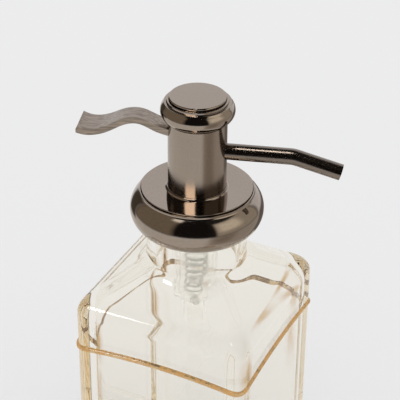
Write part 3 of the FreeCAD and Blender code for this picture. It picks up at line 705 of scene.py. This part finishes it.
def studio_world():
    """Surroundings that differ by kind of ray: white for matte surfaces, own tones for metal and glass."""
    world = bpy.data.worlds.new("studio")
    bpy.context.scene.world = world
    world.use_nodes = True
    world.cycles.sampling_method = "NONE"
    world.node_tree.nodes.clear()
    nodes = Nodes(world.node_tree)
    output = nodes.add("ShaderNodeOutputWorld")
    direction = nodes.add("ShaderNodeTexCoord").outputs["Generated"]
    turned = nodes.add("ShaderNodeVectorRotate", {"Vector": direction, "Angle": -math.radians(CAMERA_TURN)},
                       rotation_type="Z_AXIS")
    parts = nodes.add("ShaderNodeSeparateXYZ", {0: turned.outputs[0]})
    ahead = nodes.math("MULTIPLY", parts.outputs[1], -1.0)
    azimuth = nodes.math("DEGREES", nodes.math("ARCTAN2", parts.outputs[0], ahead))
    elevation = nodes.math("DEGREES", nodes.math("ARCSINE", parts.outputs[2]))

    def panel(az0, az1, el0, el1, edge):
        left = nodes.remap(azimuth, az0 - edge, az0 + edge)
        right = nodes.remap(azimuth, az1 - edge, az1 + edge, 1.0, 0.0)
        low = nodes.remap(elevation, el0 - edge, el0 + edge)
        high = nodes.remap(elevation, el1 - edge, el1 + edge, 1.0, 0.0)
        return nodes.math("MULTIPLY", nodes.math("MULTIPLY", left, right), nodes.math("MULTIPLY", low, high))

    def surroundings(room, panels):
        colour = room
        for az0, az1, el0, el1, edge, tone in panels.values():
            colour = nodes.mix(panel(az0, az1, el0, el1, edge), colour, rgb(*tone))
        return colour

    rays = nodes.add("ShaderNodeLightPath")
    metal = surroundings(rgb(*METAL_ROOM), STUDIO_PANELS)
    second = nodes.math("GREATER_THAN", rays.outputs["Ray Depth"], 2.5)
    metal = nodes.mix(second, metal, surroundings(metal, STRIPE_PANELS))
    glass = surroundings(rgb(*GLASS_ROOM), GLASS_PANELS)
    colour = nodes.mix(rays.outputs["Is Singular Ray"], metal, glass)
    colour = nodes.mix(rays.outputs["Is Diffuse Ray"], colour, rgb(1.0, 1.0, 1.0))
    colour = nodes.mix(rays.outputs["Is Camera Ray"], colour, rgb(*BACKDROP))
    colour = nodes.mix(rays.outputs["Is Transmission Ray"], colour, rgb(*THROUGH_GLASS))
    background = nodes.add("ShaderNodeBackground", {"Color": colour, "Strength": 1.0})
    nodes.put(output.inputs["Surface"], background.outputs[0])


def studio_floor():
    ground = (0, 0, CAD_BOX[0][2])
    bpy.ops.mesh.primitive_circle_add(vertices=96, radius=4.0, fill_type="NGON", location=ground)
    floor = bpy.context.object
    floor.name = "studio_floor"
    floor.data.materials.append(floor_material())
    floor.visible_glossy = False


def studio_camera():
    turn = math.radians(CAMERA_TURN)
    look = math.radians(CAMERA_AZIMUTH)
    dip = math.radians(CAMERA_DIP)
    forward = Vector((-math.sin(look) * math.cos(dip), math.cos(look) * math.cos(dip), -math.sin(dip)))
    right = forward.cross(Vector((0, 0, 1))).normalized()
    up = right.cross(forward)
    roll = math.radians(CAMERA_ROLL)
    right, up = right * math.cos(roll) + up * math.sin(roll), up * math.cos(roll) - right * math.sin(roll)
    data = bpy.data.cameras.new("camera")
    data.lens = CAMERA_LENS
    data.sensor_width = 36.0
    data.clip_start = 0.01
    camera = bpy.data.objects.new("camera", data)
    place = Vector((math.sin(turn) * CAMERA_DISTANCE, -math.cos(turn) * CAMERA_DISTANCE, CAMERA_HEIGHT))
    rotation = Matrix((right, up, -forward)).transposed().to_4x4()
    camera.matrix_world = Matrix.Translation(place) @ rotation
    bpy.context.scene.collection.objects.link(camera)
    bpy.context.scene.camera = camera


# ---------------------------------------------------------------- build

def metal_pieces():
    """Plated metal. The lever and the spout get darker base colours than the rest, as the photo's tones
    asked.
    """
    base = (0.345, 0.290, 0.246)
    satin = turned_metal("gunmetal_satin", base, 0.20, 0.8, 0.25)
    glossy = turned_metal("gunmetal_glossy", base, 0.10, 0.5, 0.05)
    mirror = turned_metal("gunmetal_mirror", base, 0.05, 0.5, 0.02)
    dress("column_shell", satin)
    collar_shell(glossy)
    collar_plate(mirror)
    guide_ring(mirror)
    cap_shell(glossy)
    cap_disc(mirror)
    dress("lever", plain_metal("gunmetal_bar", (0.28, 0.232, 0.195), 0.14, 1400.0, 0.3, 17, 0.28))
    dress("nozzle_tube", plain_metal("gunmetal_spout", (0.21, 0.176, 0.150), 0.2, 1400.0, 0.02, 17, 0.1))


def soften_lever():
    """Small bevel along the lever's edges."""
    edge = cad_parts["lever"].modifiers.new("edge", "BEVEL")
    edge.width = 0.45 * MM
    edge.segments = 3
    edge.limit_method = "ANGLE"
    edge.angle_limit = math.radians(50)
    edge.harden_normals = True


def inner_pieces():
    """Plastics, rubber and steel. The clear plastics are set to look faint, not to real values."""
    # The milky plastic's faint glow is painted light, standing in for light scattered inside the bottle.
    milky = plastic_material("milky_plastic", (0.98, 0.98, 0.95), 0.12, 0.8, 1.1, 0.3, 0.1)
    for node in ("pump_housing", "chaplet", "ball_cage", "piston", "piston_rod", "stem", "nozzle_liner"):
        dress(node, milky)
    dress("dip_tube", plastic_material("clear_tube", (0.99, 0.99, 0.98), 0.08, 1.0, 1.02, 0.12))
    black = plastic_material("dark_plastic", (0.03, 0.028, 0.026), 0.4, 0.0)
    for node in ("closure_insert", "actuator_core"):
        dress(node, black)
    dress("mouth_gasket", plastic_material("gasket_foam", (0.82, 0.81, 0.78), 0.8, 0.0))
    steel = plain_metal("steel_wire", (0.86, 0.86, 0.85), 0.5, 1500.0, 0.1)
    for node in ("inlet_ball", "lever_screw"):
        dress(node, steel)
    return_spring(steel)


def ray_limits():
    """Enough bounces for light to pass through every wall of the bottle."""
    limits = bpy.context.scene.cycles
    limits.max_bounces = 32
    limits.glossy_bounces = 24
    limits.transmission_bounces = 32


metal_pieces()
soften_lever()
inner_pieces()
glass_bottle()
studio_world()
studio_floor()
studio_camera()
ray_limits()
bpy.context.scene.view_settings.view_transform = "Standard"
